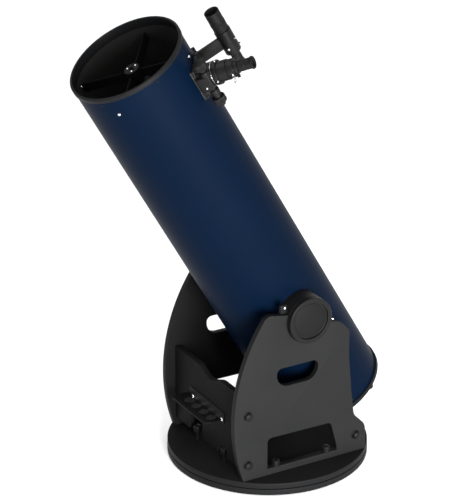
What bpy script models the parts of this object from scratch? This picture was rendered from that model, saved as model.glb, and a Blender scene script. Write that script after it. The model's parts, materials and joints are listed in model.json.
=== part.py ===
"""Dobsonian reflector telescope on a rocker-box base.

The origin is on the floor under the centre of the round base, +Z is up, and the tube
points towards -Y and up. The tube's own frame sits on the altitude axis: its local Z
runs to the mouth and its local X is the altitude axis. Lengths below are millimetres
and angles are degrees; the helpers build everything in metres.
"""
import math

import bmesh
import bpy
from mathutils import Matrix, Vector

MM = 0.001
GAP = 0.3                      # room left between two pieces that touch

# --- base -----------------------------------------------------------------------
FOOT_H = 6.0
FOOT_R = 28.0
FOOT_RING = 258.0
BOARD_T = 19.0
GROUND_R = 320.0
AZ_BOARD_R = 319.4
GROUND_TOP = FOOT_H + BOARD_T
AZ_GAP = 2.5
AZ_BOTTOM = GROUND_TOP + AZ_GAP
FLOOR_TOP = AZ_BOTTOM + 18.7
PIVOT_BOLT_R = 6.0

# --- rocker ---------------------------------------------------------------------
SIDE_IN = 208.4
SIDE_MID = SIDE_IN + BOARD_T / 2
SIDE_OUT = SIDE_IN + BOARD_T
EDGE_ARC = (336.0, 241.0, 590.0)          # front edge of a side board: y, z, radius
FRONT_FACE = -219.0
FRONT_MID = FRONT_FACE + BOARD_T / 2
RAIL_TOP = 68.0

# --- altitude axis --------------------------------------------------------------
PIVOT = (0.0, 6.0, 551.0)
TUBE_ALTITUDE = 60.0
DRUM_R = 74.6
DRUM_END = 232.0
KNOB_START = 232.5
KNOB_END = 247.0
CRADLE_R = 76.5
LINER_R = 75.1

# --- tube, along its own axis from the altitude axis -----------------------------
TUBE_R = 177.5
TUBE_WALL = 1.4
TUBE_REAR = -423.0
TUBE_FRONT = 991.5
RING_FRONT = 995.1
RING_REAR = -427.0
ROUND = 48                     # steps of the tube's circle
SADDLE_R = TUBE_R + 0.4

# --- optics ---------------------------------------------------------------------
MIRROR_R = 152.5
MIRROR_BACK = -378.0
MIRROR_T = 45.0
MIRROR_SAG = 3.8
CELL_BACK = -398.0
CELL_T = 12.0
COLLIMATION_RING = 161.0
HUB_FRONT = 952.0
HUB_BACK = 912.0
HUB_R = 24.0
VANE_MID = 928.5
VANE_DEPTH = 30.0
VANE_T = 1.6
DIAGONAL_R = 35.0

# --- focuser: angle round the tube, height along it ------------------------------
FOCUS_ANGLE = 47.0
FOCUS_S = 856.0
FOCUS_SIDE = 38.5              # the pinion shaft, beside the drawtube
FOCUS_SHAFT_H = 216.5
DRAW_R = 31.0
DRAW_BORE = 31.6

# --- finder ---------------------------------------------------------------------
FINDER_ANGLE = 80.0
FINDER_R = 285.0
FINDER_S = 852.0

for old in list(bpy.data.objects):
    bpy.data.objects.remove(old, do_unlink=True)

parts = bpy.data.collections.new("dobsonian_telescope")
cutters = bpy.data.collections.new("cutters")
bpy.context.scene.collection.children.link(parts)
bpy.context.scene.collection.children.link(cutters)


# --- materials ------------------------------------------------------------------
def material(name, colour, rough, metal=0.0):
    mat = bpy.data.materials.new(name)
    mat.use_nodes = True
    mat.diffuse_color = (*colour, 1.0)
    shader = mat.node_tree.nodes["Principled BSDF"]
    shader.inputs["Base Color"].default_value = (*colour, 1.0)
    shader.inputs["Roughness"].default_value = rough
    shader.inputs["Metallic"].default_value = metal
    return mat


LAMINATE = material("charcoal_laminate", (0.030, 0.031, 0.034), 0.55)
NAVY = material("navy_enamel", (0.006, 0.014, 0.045), 0.32)
BLACK = material("satin_black", (0.012, 0.012, 0.013), 0.4)
FLAT_BLACK = material("flat_black", (0.006, 0.006, 0.007), 0.85)
CHROME = material("chrome", (0.75, 0.75, 0.76), 0.15, 1.0)
GREY_RING = material("dark_grey_metal", (0.05, 0.05, 0.055), 0.4, 0.6)
RUBBER = material("rubber", (0.010, 0.010, 0.010), 0.9)
GLASS = material("coated_glass", (0.02, 0.03, 0.05), 0.05)
MIRROR = material("mirror", (0.9, 0.9, 0.92), 0.03, 1.0)
WHITE = material("white_bearing", (0.75, 0.75, 0.72), 0.5)


# --- helpers --------------------------------------------------------------------
def empty(name, loc=(0, 0, 0), rot=(0, 0, 0), parent=None):
    obj = bpy.data.objects.new(name, None)
    obj.parent = parent
    obj.location = Vector(loc) * MM
    obj.rotation_euler = [math.radians(a) for a in rot]
    parts.objects.link(obj)
    return obj


def place(name, data, mat, loc, rot, parent, collection=None):
    obj = bpy.data.objects.new(name, data)
    obj.parent = parent
    obj.location = Vector(loc) * MM
    obj.rotation_euler = [math.radians(a) for a in rot]
    if mat is not None:
        obj.data.materials.append(mat)
    (collection or parts).objects.link(obj)
    if collection is cutters:
        obj.hide_render = True
        obj.display_type = "WIRE"
    return obj


def baked(obj):
    """Turn an object's modifiers or curve into plain mesh, with its seams welded."""
    graph = bpy.context.evaluated_depsgraph_get()
    mesh = bpy.data.meshes.new_from_object(obj.evaluated_get(graph))
    bm = bmesh.new()
    bm.from_mesh(mesh)
    bmesh.ops.remove_doubles(bm, verts=bm.verts, dist=1e-6)
    bm.to_mesh(mesh)
    bm.free()
    if obj.type == "CURVE":
        new = bpy.data.objects.new("mesh", mesh)
        new.parent = obj.parent
        new.location = obj.location
        new.rotation_euler = obj.rotation_euler
        for collection in obj.users_collection:
            collection.objects.link(new)
        new.hide_render = obj.hide_render
        new.display_type = obj.display_type
        name = obj.name
        bpy.data.objects.remove(obj)
        new.name = name
        obj = new
    else:
        obj.modifiers.clear()
        obj.data = mesh
    mesh.shade_smooth()
    mesh.set_sharp_from_angle(angle=math.radians(35))
    return obj


def turned(name, profile, mat, loc=(0, 0, 0), rot=(0, 0, 0), parent=None, steps=24,
           ring=False, collection=None):
    """Turn a profile of (radius, height) points about local Z, outer side downwards."""
    mesh = bpy.data.meshes.new(name)
    verts = [(r * MM, 0.0, z * MM) for r, z in profile]
    edges = [(i, i + 1) for i in range(len(verts) - 1)]
    if ring:
        edges.append((len(verts) - 1, 0))
    mesh.from_pydata(verts, edges, [])
    obj = place(name, mesh, mat, loc, rot, parent, collection)
    screw = obj.modifiers.new("turn", "SCREW")
    screw.steps = steps
    screw.render_steps = steps
    screw.use_merge_vertices = True
    screw.merge_threshold = 0.00001
    screw.use_smooth_shade = True
    return baked(obj)


def plate(name, outline, holes, thick, mat, loc=(0, 0, 0), rot=(0, 0, 0), parent=None,
          collection=None):
    """A flat outline with holes, extruded both ways from its local XY plane."""
    curve = bpy.data.curves.new(name, "CURVE")
    curve.dimensions = "2D"
    curve.fill_mode = "BOTH"
    curve.extrude = thick / 2 * MM
    for loop in [outline] + holes:
        spline = curve.splines.new("POLY")
        spline.points.add(len(loop) - 1)
        for point, (x, y) in zip(spline.points, loop):
            point.co = (x * MM, y * MM, 0.0, 1.0)
        spline.use_cyclic_u = True
    return baked(place(name, curve, mat, loc, rot, parent, collection))


def block(name, low, high, mat, loc=(0, 0, 0), rot=(0, 0, 0), parent=None, bevel=0.0,
          collection=None):
    """A box between two corners, its edges rounded."""
    bm = bmesh.new()
    bmesh.ops.create_cube(bm, size=1.0)
    size = Vector([(b - a) * MM for a, b in zip(low, high)])
    middle = Vector([(b + a) / 2 * MM for a, b in zip(low, high)])
    for vert in bm.verts:
        vert.co = Vector([v * s for v, s in zip(vert.co, size)]) + middle
    mesh = bpy.data.meshes.new(name)
    bm.to_mesh(mesh)
    bm.free()
    obj = place(name, mesh, mat, loc, rot, parent, collection)
    if bevel:
        mod = obj.modifiers.new("edges", "BEVEL")
        mod.width = bevel * MM
        mod.segments = 2
        mod.limit_method = "ANGLE"
        obj = baked(obj)
    return obj


def boolean(obj, other, operation="DIFFERENCE"):
    mod = obj.modifiers.new(operation.lower(), "BOOLEAN")
    mod.operation = operation
    mod.solver = "EXACT"
    mod.object = other
    return obj


def cut(obj, *tools):
    for tool in tools:
        boolean(obj, tool)
    return baked(obj)


def joined(obj, *others):
    for other in others:
        boolean(obj, other, "UNION")
    return baked(obj)


def circle(x, y, r, steps=24):
    angles = [2 * math.pi * i / steps for i in range(steps)]
    return [(x + r * math.cos(a), y + r * math.sin(a)) for a in angles]


def arc(x, y, r, start, end, steps):
    out = []
    for i in range(steps + 1):
        a = math.radians(start + (end - start) * i / steps)
        out.append((x + r * math.cos(a), y + r * math.sin(a)))
    return out


def filleted(corners, steps=5):
    """Round the corners of an outline: a corner is (x, y) or (x, y, radius)."""
    out = []
    count = len(corners)
    for i, corner in enumerate(corners):
        here = Vector(corner[:2])
        radius = corner[2] if len(corner) > 2 else 0.0
        if not radius:
            out.append(tuple(here))
            continue
        before = (Vector(corners[i - 1][:2]) - here).normalized()
        after = (Vector(corners[(i + 1) % count][:2]) - here).normalized()
        half = before.angle(after) / 2
        start = here + before * (radius / math.tan(half))
        centre = here + (before + after).normalized() * (radius / math.sin(half))
        end = here + after * (radius / math.tan(half))
        first = math.atan2(start.y - centre.y, start.x - centre.x)
        last = math.atan2(end.y - centre.y, end.x - centre.x)
        turn = (last - first + math.pi) % (2 * math.pi) - math.pi
        for k in range(steps + 1):
            a = first + turn * k / steps
            out.append((centre.x + radius * math.cos(a), centre.y + radius * math.sin(a)))
    return out


def disc(r, bottom, top, soft=0.0):
    """Profile of a solid disc, its two rims softened."""
    if not soft:
        return [(0, top), (r, top), (r, bottom), (0, bottom)]
    return [(0, top), (r - soft, top), (r, top - soft),
            (r, bottom + soft), (r - soft, bottom), (0, bottom)]


def hoop(outer, inner, bottom, top, soft=0.0):
    """Profile of a ring, its two outer rims softened."""
    if not soft:
        return [(outer, top), (outer, bottom), (inner, bottom), (inner, top)]
    return [(outer - soft, top), (outer, top - soft), (outer, bottom + soft),
            (outer - soft, bottom), (inner, bottom), (inner, top)]


def cap_nut(name, r, tall, shaft_r, shaft_len, mat, loc, rot, parent):
    """A domed cap on a washer, its shaft running back from the face it sits on."""
    profile = [(0, tall), (r * 0.7, tall - 0.8), (r, tall - 4), (r, 2.6), (r + 1.5, 2.6),
               (r + 1.5, GAP)]
    if shaft_len:
        profile += [(shaft_r, GAP), (shaft_r, -shaft_len), (0, -shaft_len)]
    else:
        profile += [(0, GAP)]
    return turned(name, profile, mat, loc, rot, parent, steps=12)


def thumbscrew(name, head_r, head_len, stem_r, stem_len, mat, loc, rot, parent):
    """A knurled head on a plain stem; the stem's tip is at the local origin."""
    top = stem_len + head_len
    profile = [(0, top), (head_r - 0.6, top), (head_r, top - 0.6),
               (head_r, stem_len + 0.6), (head_r - 0.6, stem_len),
               (stem_r, stem_len), (stem_r, 0), (0, 0)]
    return turned(name, profile, mat, loc, rot, parent, steps=12)


# --- ground board ---------------------------------------------------------------
turned("ground_board", hoop(GROUND_R, PIVOT_BOLT_R + 0.5, FOOT_H, GROUND_TOP),
       LAMINATE, steps=ROUND, ring=True)
for i in range(3):
    a = math.radians(90 + 120 * i)
    turned("foot_%d" % (i + 1), disc(FOOT_R, 0.0, FOOT_H - GAP), RUBBER,
           loc=(FOOT_RING * math.cos(a), FOOT_RING * math.sin(a), 0), steps=18)
turned("azimuth_bearing", hoop(250, 205, GROUND_TOP + GAP, AZ_BOTTOM - GAP), WHITE,
       steps=24, ring=True)
turned("azimuth_bolt",
       [(0, FLOOR_TOP + 24), (PIVOT_BOLT_R - 1, FLOOR_TOP + 24), (PIVOT_BOLT_R, FLOOR_TOP + 23),
        (PIVOT_BOLT_R, FOOT_H - GAP), (14, FOOT_H - GAP), (14, 0), (0, 0)],
       CHROME, steps=18)
turned("azimuth_knob",
       [(24, FLOOR_TOP + 16), (26, FLOOR_TOP + 14), (26, FLOOR_TOP + 6),
        (22, FLOOR_TOP + 3), (22, FLOOR_TOP + 0.6), (PIVOT_BOLT_R + 0.4, FLOOR_TOP + 0.6),
        (PIVOT_BOLT_R + 0.4, FLOOR_TOP + 16)],
       BLACK, steps=16, ring=True)

# --- rocker: round floor, side boards, front board --------------------------------
turned("azimuth_board", hoop(AZ_BOARD_R, PIVOT_BOLT_R + 0.5, AZ_BOTTOM, FLOOR_TOP),
       LAMINATE, steps=ROUND, ring=True)

SIDE_BOLTS = [(-206.8, 270.4), (-206.1, 100.7), (188.1, 104.4)]
FLOOR_BOLTS_Y = (-99.0, 85.0)


def side_outline():
    """A side board in (y, z): a long arc in front, the cradle on top, a heel behind."""
    cy, cz, r = EDGE_ARC
    low = math.degrees(math.asin((FLOOR_TOP + GAP - cz) / r))
    high = math.degrees(math.asin((558.0 - cz) / r))
    front = arc(cy, cz, r, 180 - low, 180 - high, 14)
    cradle = arc(PIVOT[1], PIVOT[2], CRADLE_R, 159, 340, 22)
    shoulder = filleted([front[-1], (-139.4, 592.8, 26), (-84, 582)])[1:]
    back = filleted([cradle[-1], (100, 517.5), (134, 503.5, 8), (158, 477, 16), (158, 386, 60),
                     (170, 259), (180, 178, 40), (222, 134, 40), (226, 96, 12),
                     (226, FLOOR_TOP + GAP)])[1:]
    return front + shoulder + cradle + back


HANDLE = filleted([(-103, 404, 18), (-103, 340, 42), (45, 340, 42), (45, 404, 18)], 6)
BAY = filleted([(-135, RAIL_TOP, 2), (-135, 174, 15), (95, 171, 15), (117, 89, 12),
                (120, RAIL_TOP, 2)])
for side, sign in (("right", 1), ("left", -1)):
    holes = [HANDLE, BAY] + [circle(y, z, 4.6, 12) for y, z in SIDE_BOLTS]
    turn = Matrix(((0, 0, 1), (1, 0, 0), (0, 1, 0))).to_euler()
    plate("side_board_" + side, side_outline(), holes, BOARD_T, LAMINATE,
          loc=(sign * SIDE_MID, 0, 0), rot=[math.degrees(a) for a in turn])
    for i, (y, z) in enumerate(SIDE_BOLTS):
        cap_nut("side_bolt_%s_%d" % (side, i + 1), 13.2, 15, 4.2, BOARD_T - 0.4, BLACK,
                (sign * SIDE_OUT, y, z), (0, 90 * sign, 0), None)
    for i, y in enumerate(FLOOR_BOLTS_Y):
        cap_nut("floor_bolt_%s_%d" % (side, i + 1), 12.5, 21, 0, 0, BLACK,
                (sign * SIDE_MID, y, RAIL_TOP), (0, 0, 0), None)
    plate("cradle_liner_" + side,
          arc(PIVOT[1], PIVOT[2], CRADLE_R - GAP, 166, 336, 22)
          + arc(PIVOT[1], PIVOT[2], LINER_R, 336, 166, 22), [], BOARD_T - 1, BLACK,
          loc=(sign * SIDE_MID, 0, 0), rot=[math.degrees(a) for a in turn])
    block("cradle_stop_" + side, (-6, -12, 0), (6, 12, 29), BLACK,
          loc=(sign * 216, -77, 583.6), bevel=1.5)
    turned("front_post_" + side,
           [(0, 54), (9, 53), (12, 50), (12, 32), (5, 31.5), (5, GAP), (0, GAP)],
           BLACK, loc=(sign * 85, -208.5, FLOOR_TOP), steps=14)

DIP = [(93 - 160 * i / 12, 309 + 22 * math.sin(math.pi * (i / 12 - 0.5)) ** 2)
       for i in range(13)]
FRONT_OUTLINE = ([(-208.1, 78), (-118, 78), (-118, 150), (-112, 156), (-40, 156), (-34, 150),
                  (-34, 78), (70, 78), (70, 104), (120, 104), (120, 78), (208.1, 78),
                  (208.1, 331)] + DIP + [(-208.1, 331)])
turn = Matrix(((1, 0, 0), (0, 0, -1), (0, 1, 0))).to_euler()
RACK_LEFT, RACK_RIGHT, RACK_FRONT = -134.0, 86.0, -277.0
RACK_Z = 197.0
RACK_SCREW_Z = RACK_Z + 8.5
RACK_SCREWS = (-86.0, 96.0)
plate("front_board", FRONT_OUTLINE, [circle(x, RACK_SCREW_Z, 2.6, 10) for x in RACK_SCREWS],
      BOARD_T, LAMINATE, loc=(0, FRONT_MID, 0), rot=[math.degrees(a) for a in turn])

# --- eyepiece rack ----------------------------------------------------------------
RACK_HOLES = (-82.0, -36.0, 10.0, 56.0)
shelf = plate("eyepiece_rack",
              filleted([(RACK_LEFT, RACK_FRONT, 16), (RACK_RIGHT, RACK_FRONT, 24),
                        (RACK_RIGHT, FRONT_FACE - GAP), (RACK_LEFT, FRONT_FACE - GAP)]),
              [circle(x, -240, 16.2, 20) for x in RACK_HOLES], 3.0, BLACK,
              loc=(0, 0, RACK_Z))
back_plate = block("rack_back", (RACK_LEFT + 22, FRONT_FACE - 3, RACK_Z - 1),
                   (RACK_RIGHT + 22, FRONT_FACE - GAP, RACK_Z + 36), None, collection=cutters)
holes = [turned("rack_hole_%d" % i, disc(2.8, -10, 10), None,
                (x, FRONT_FACE, RACK_SCREW_Z), (90, 0, 0), collection=cutters, steps=12)
         for i, x in enumerate(RACK_SCREWS)]
joined(shelf, back_plate)
cut(shelf, *holes)
for i, x in enumerate(RACK_SCREWS):
    turned("rack_screw_%d" % (i + 1),
           [(0, 7), (4, 6.4), (6, 4.6), (6, 3.4), (2.3, 3.4), (2.3, -15), (0, -15)], CHROME,
           (x, FRONT_FACE, RACK_SCREW_Z), (90, 0, 0), steps=12)

# --- tube -------------------------------------------------------------------------
axis = empty("altitude_axis", PIVOT, (90 - TUBE_ALTITUDE, 0, 0))
focus = empty("focuser_axis", parent=axis)
a = math.radians(FOCUS_ANGLE)
focus.matrix_basis = Matrix(((0, math.sin(a), math.cos(a), 0),
                             (0, -math.cos(a), math.sin(a), 0),
                             (1, 0, 0, FOCUS_S * MM),
                             (0, 0, 0, 1)))
a = math.radians(FINDER_ANGLE)
finder = empty("finder_axis", (FINDER_R * math.cos(a), FINDER_R * math.sin(a), FINDER_S),
               (0, 0, FINDER_ANGLE), axis)

saddle = turned("saddle", disc(SADDLE_R, -200, 960), None, parent=axis, steps=ROUND,
                collection=cutters)
tube = turned("main_tube", hoop(TUBE_R, TUBE_R - TUBE_WALL, TUBE_REAR, TUBE_FRONT), NAVY,
              parent=axis, steps=ROUND, ring=True)
cut(tube, turned("focuser_hole", disc(DRAW_R + 2, 150, 200), None, parent=focus,
                 collection=cutters))


def lip_ring(name, end, way, depth, lip):
    """The rolled end ring: it wraps the tube's end, with a lip inside it."""
    outer = TUBE_R + (3.3 if way > 0 else 5.3)
    inner = TUBE_R - TUBE_WALL - GAP
    wrap = end - way * 14
    shape = [(outer - 1.2, end), (outer, end - way * 1.6), (outer, wrap), (TUBE_R + GAP, wrap),
             (TUBE_R + GAP, end - way * 2.7), (inner, end - way * 2.7),
             (inner, end - way * depth), (inner - lip, end - way * depth), (inner - lip, end)]
    if way < 0:
        shape.reverse()
    turned(name, shape, GREY_RING, parent=axis, steps=ROUND, ring=True)


lip_ring("front_ring", RING_FRONT, 1, 30.6, 2.5)
lip_ring("rear_ring", RING_REAR, -1, 16, 2.5)

# --- mirrors, cell and spider -------------------------------------------------------
bays = []
for i in range(3):
    mid = 90 + 120 * i
    bays.append(arc(0, 0, 158, mid - 38, mid + 38, 6) + arc(0, 0, 112, mid + 38, mid - 38, 6))
studs = [(COLLIMATION_RING * math.cos(math.radians(30 + 120 * i)),
          COLLIMATION_RING * math.sin(math.radians(30 + 120 * i))) for i in range(3)]
plate("mirror_cell", circle(0, 0, 174.6, 48),
      bays + [circle(0, 0, 55, 24)] + [circle(x, y, 4.6, 8) for x, y in studs], CELL_T,
      BLACK, loc=(0, 0, CELL_BACK + CELL_T / 2), parent=axis)
face = [(MIRROR_R * t / 4, MIRROR_BACK + MIRROR_T - MIRROR_SAG * (1 - (t / 4) ** 2))
        for t in range(5)]
turned("primary_mirror", face + [(MIRROR_R, MIRROR_BACK), (0, MIRROR_BACK)], MIRROR,
       parent=axis, steps=36)
for i, (x, y) in enumerate(studs):
    back = CELL_BACK
    turned("collimation_knob_%d" % (i + 1),
           [(0, back + 17), (3.8, back + 17), (3.8, back - 30), (10, back - 30), (11.5, back - 32),
            (11.5, back - 46), (9, back - 49), (0, back - 49)],
           BLACK, loc=(x, y, 0), parent=axis, steps=16)

spider = turned("spider", hoop(HUB_R, 4.4, HUB_BACK, HUB_FRONT, 1.0), BLACK, parent=axis,
                steps=24, ring=True)
vanes = [block("vane_%d" % i, (HUB_R - 4, -VANE_T / 2, VANE_MID - VANE_DEPTH / 2),
               (TUBE_R - TUBE_WALL - 0.7, VANE_T / 2, VANE_MID + VANE_DEPTH / 2), None,
               rot=(0, 0, 45 + 90 * i), parent=axis, collection=cutters) for i in range(4)]
joined(spider, *vanes)


def diagonal_slice(name, profile, front, back, mat):
    """A turned piece cut at 45 degrees towards the focuser, between two parallel planes."""
    obj = turned(name, profile, mat, parent=axis, steps=20)
    aim = math.radians(FOCUS_ANGLE)
    normal = Vector((math.cos(aim), math.sin(aim), -1)).normalized()
    bm = bmesh.new()
    bm.from_mesh(obj.data)
    for offset, keep in ((front, 1), (back, -1)):
        if offset is None:
            continue
        point = Vector((0, 0, FOCUS_S * MM)) + normal * offset * MM
        geom = bm.verts[:] + bm.edges[:] + bm.faces[:]
        done = bmesh.ops.bisect_plane(bm, geom=geom, plane_co=point, plane_no=normal * keep,
                                      clear_outer=True, dist=1e-7)
        rim = [e for e in done["geom_cut"] if isinstance(e, bmesh.types.BMEdge)]
        bmesh.ops.contextual_create(bm, geom=rim)
    bmesh.ops.recalc_face_normals(bm, faces=bm.faces)
    bm.to_mesh(obj.data)
    bm.free()
    obj.data.shade_smooth()
    obj.data.set_sharp_from_angle(angle=math.radians(35))
    return obj


diagonal_slice("secondary_mirror", disc(DIAGONAL_R, 780, 930), 0.0, -9.0, MIRROR)
diagonal_slice("secondary_holder",
               [(0, 958), (3.9, 958), (3.9, 908), (18, 908), (18, 900), (33, 896), (33, 780),
                (0, 780)], -9.4, None, BLACK)

# --- altitude bearings --------------------------------------------------------------
for side, sign in (("right", 1), ("left", -1)):
    drum = turned("altitude_bearing_" + side, disc(DRUM_R, 130, DRUM_END, 0.8), BLACK,
                  rot=(0, 90 * sign, 0), parent=axis, steps=36)
    cut(drum, saddle)
    turned("altitude_knob_" + side,
           [(0, KNOB_END - 8), (59.5, KNOB_END - 8), (60.7, KNOB_END - 6.8),
            (60.7, KNOB_END - 1), (61.7, KNOB_END), (DRUM_R - 2, KNOB_END),
            (DRUM_R, KNOB_END - 2), (DRUM_R, KNOB_START), (0, KNOB_START)],
           BLACK, rot=(0, 90 * sign, 0), parent=axis, steps=36)

# --- focuser ------------------------------------------------------------------------
base = block("focuser_base", (-57, -38, 168), (49, 38, 186), BLACK, parent=focus, bevel=2.5)
neck = turned("neck", [(0, 226), (35, 226), (36, 225), (36, 202), (43, 187), (43, 180),
                       (0, 180)], None, parent=focus, collection=cutters, steps=24)
housing = block("housing", (-26, 20, 182), (26, FOCUS_SIDE + 11, 225.7), None,
                parent=focus, bevel=2.5, collection=cutters)
bore = turned("bore", disc(DRAW_BORE, 140, 260), None, parent=focus, collection=cutters,
              steps=24)
shaft_way = turned("shaft_way", disc(4.6, -100, 100), None, (0, FOCUS_SIDE, FOCUS_SHAFT_H),
                   (0, 90, 0), focus, collection=cutters, steps=14)
joined(base, neck, housing)
cut(base, bore, saddle, shaft_way)

turned("focuser_collar", hoop(37, DRAW_BORE, 226 + GAP, 243), BLACK, parent=focus,
       steps=24, ring=True)
turned("focuser_drawtube", hoop(DRAW_R, 25.9, 168, 272), GREY_RING, parent=focus,
       steps=24, ring=True)
turned("eyepiece_holder", hoop(28.5, 25.7, 272 + GAP, 293), BLACK, parent=focus,
       steps=24, ring=True)
turned("eyepiece_adapter",
       [(19.5, 303), (20.5, 302), (20.5, 293), (25.2, 293), (25.2, 276), (16.3, 276),
        (16.3, 303)], BLACK, parent=focus, steps=20, ring=True)
turned("eyepiece",
       [(0, 341), (11, 341), (11, 344), (16, 344), (17, 343), (17, 305), (16, 303.4),
        (15.8, 303.4), (15.8, 276), (13.5, 276), (13.5, 288), (0, 288)],
       BLACK, parent=focus, steps=20)
turned("eyecup", [(17, 353), (19.5, 351), (19.5, 346), (17.2, 344 + GAP), (13, 344 + GAP),
                  (13, 351)], RUBBER, parent=focus, steps=20, ring=True)
turned("focus_knob",
       [(0, 77), (19, 77), (20, 76), (20, 55), (19, 54), (11, 54), (11, 44), (4, 44),
        (4, -44), (11, -44), (11, -54), (19, -54), (20, -55), (20, -75), (0, -75)],
       BLACK, (0, FOCUS_SIDE, FOCUS_SHAFT_H), (0, 90, 0), focus, steps=20)
turned("fine_focus_knob",
       [(0, -75.4), (10, -75.4), (11, -76.4), (11, -85), (10, -86), (0, -86)],
       CHROME, (0, FOCUS_SIDE, FOCUS_SHAFT_H), (0, 90, 0), focus, steps=20)


def radial_screw(name, turn_deg, tip, height, head_r, head_len, stem, mat):
    """A thumbscrew square to the focuser's axis, its tip at a radius from that axis."""
    turn_r = math.radians(turn_deg)
    return thumbscrew(name, head_r, head_len, 2.0, stem, mat,
                      (tip * math.cos(turn_r), tip * math.sin(turn_r), height),
                      (0, 90, turn_deg), focus)


radial_screw("holder_screw", 139, 28.9, 284, 4.5, 9, 8, CHROME)
radial_screw("eyepiece_screw", 140, 20.9, 298.2, 4.6, 9, 1.5, BLACK)

# --- finder -------------------------------------------------------------------------
shoe_low = TUBE_R - FINDER_R - 6
block_low = TUBE_R + 13 - FINDER_R
shoe = block("finder_shoe", (shoe_low, -21, -32), (block_low, 21, 32), BLACK, parent=finder,
             bevel=1.2)
groove = plate("groove", [(block_low - 7.3, -13.6), (block_low + 6, -8.8),
                          (block_low + 6, 8.8), (block_low - 7.3, 13.6)], [], 90, None,
               parent=finder, collection=cutters)
cut(shoe, saddle, groove)
stalk = plate("finder_bracket", [(block_low - 6.7, -12.9), (block_low - 0.2, -10.6),
                                 (block_low + 0.6, -6), (-20, -6), (-20, 6),
                                 (block_low + 0.6, 6), (block_low - 0.2, 10.6),
                                 (block_low - 6.7, 12.9)], [], 40, BLACK, parent=finder)
sleeve = turned("sleeve", disc(25, -43, 38, 0.8), None, parent=finder, collection=cutters,
                steps=20)
sleeve_bore = turned("sleeve_bore", disc(22.2, -60, 50), None, parent=finder,
                     collection=cutters, steps=20)
joined(stalk, sleeve)
cut(stalk, sleeve_bore)
turned("finder_tube",
       [(0, 78), (21, 78), (21, 109), (23, 109), (23, 39.5), (20.4, 38.6), (20.4, -45),
        (15.5, -52), (15.5, -82), (17, -84), (17, -98), (15, -100), (11, -100), (11, -95),
        (0, -95)], BLACK, parent=finder, steps=20)
thumbscrew("finder_lock_screw", 4.5, 8, 2, 4, CHROME,
           (block_low - 6, 21 + GAP, 0), (-90, 0, 0), finder)
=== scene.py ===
"""Looks for a dobsonian telescope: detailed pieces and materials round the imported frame."""
import json
import math

import bmesh
import bpy
from mathutils import Matrix, Vector


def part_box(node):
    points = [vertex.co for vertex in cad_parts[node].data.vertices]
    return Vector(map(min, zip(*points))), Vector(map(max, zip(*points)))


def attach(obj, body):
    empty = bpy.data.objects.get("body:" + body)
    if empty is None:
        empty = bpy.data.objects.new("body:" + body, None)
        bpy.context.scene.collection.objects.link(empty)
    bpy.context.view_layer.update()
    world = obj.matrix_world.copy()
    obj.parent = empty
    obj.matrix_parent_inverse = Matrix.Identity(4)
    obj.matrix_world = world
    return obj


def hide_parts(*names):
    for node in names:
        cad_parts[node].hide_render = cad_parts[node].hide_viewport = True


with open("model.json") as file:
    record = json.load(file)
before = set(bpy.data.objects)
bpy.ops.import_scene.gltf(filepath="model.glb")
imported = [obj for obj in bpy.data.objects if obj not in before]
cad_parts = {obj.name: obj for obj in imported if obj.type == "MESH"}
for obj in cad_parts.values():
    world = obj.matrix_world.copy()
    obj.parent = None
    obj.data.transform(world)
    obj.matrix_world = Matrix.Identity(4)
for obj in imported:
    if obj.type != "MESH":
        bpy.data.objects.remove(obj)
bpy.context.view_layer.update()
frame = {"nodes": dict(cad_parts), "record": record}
record = frame["record"]
MM = 0.001

# --- driving sizes, in millimetres and degrees ------------------------------------------
BOARD_T = 19.0                        # thickness of the rocker's boards
SIDE_MID = 217.9                      # middle of a side board, along X
SIDE_OUT = SIDE_MID + BOARD_T / 2
SIDE_ARC = (336.0, 241.0, 590.0)      # front edge of a side board: y, z, radius
RAIL_TOP = 68.0                       # rail under the bay of a side board
CRADLE_R, LINER_R = 76.5, 75.1
TUBE_TILT = 30                        # the tube's lean from upright
TUBE_R, TUBE_IN = 177.5, 176.1
TUBE_REAR, TUBE_FRONT = -423.0, 991.5
SADDLE_R = TUBE_R + 0.4               # hollow of the pieces that sit on the tube
FOCUS_ANGLE, FINDER_ANGLE = 47, 80    # round the tube, from the altitude axis
FOCUS_S, FINDER_S = 856.0, 852.0      # along the tube, from the altitude axis
FOCUS_SIDE, SHAFT_H = 38.5, 216.5     # the focuser's shaft, beside the drawtube
FINDER_R = 285.0
DRAW_R, DRAW_BORE = 31.0, 31.6
DRUM_R, DRUM_END = 74.6, 232.0
KNOB_START, KNOB_END = 232.5, 247.0

joints = {j["name"]: j for j in record["behaviour"]["joints"]}
pivot = joints["altitude_tilt"]["pos_m"]
PY, PZ = pivot[1] / MM, pivot[2] / MM
TUBE = Matrix.Translation(pivot) @ Matrix.Rotation(math.radians(TUBE_TILT), 4, "X")
FOCUS_SIN, FOCUS_COS = math.sin(math.radians(FOCUS_ANGLE)), math.cos(math.radians(FOCUS_ANGLE))
# the focuser's frame: x along the tube, y round it, z out of it
FOCUS = TUBE @ Matrix(((0, FOCUS_SIN, FOCUS_COS, 0), (0, -FOCUS_COS, FOCUS_SIN, 0),
                       (1, 0, 0, FOCUS_S * MM), (0, 0, 0, 1)))
FINDER = (TUBE @ Matrix.Rotation(math.radians(FINDER_ANGLE), 4, "Z")
          @ Matrix.Translation((FINDER_R * MM, 0, FINDER_S * MM)))
WORLD = Matrix.Identity(4)
UP_X = Matrix(((0, 0, 1, 0), (1, 0, 0, 0), (0, 1, 0, 0), (0, 0, 0, 1)))   # (x, y) -> (Y, Z)
UP_Y = Matrix(((1, 0, 0, 0), (0, 0, -1, 0), (0, 1, 0, 0), (0, 0, 0, 1)))  # (x, y) -> (X, Z)

scene = bpy.context.scene
scene.view_settings.view_transform = "Standard"
looks = bpy.data.collections.new("looks")
scene.collection.children.link(looks)

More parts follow.
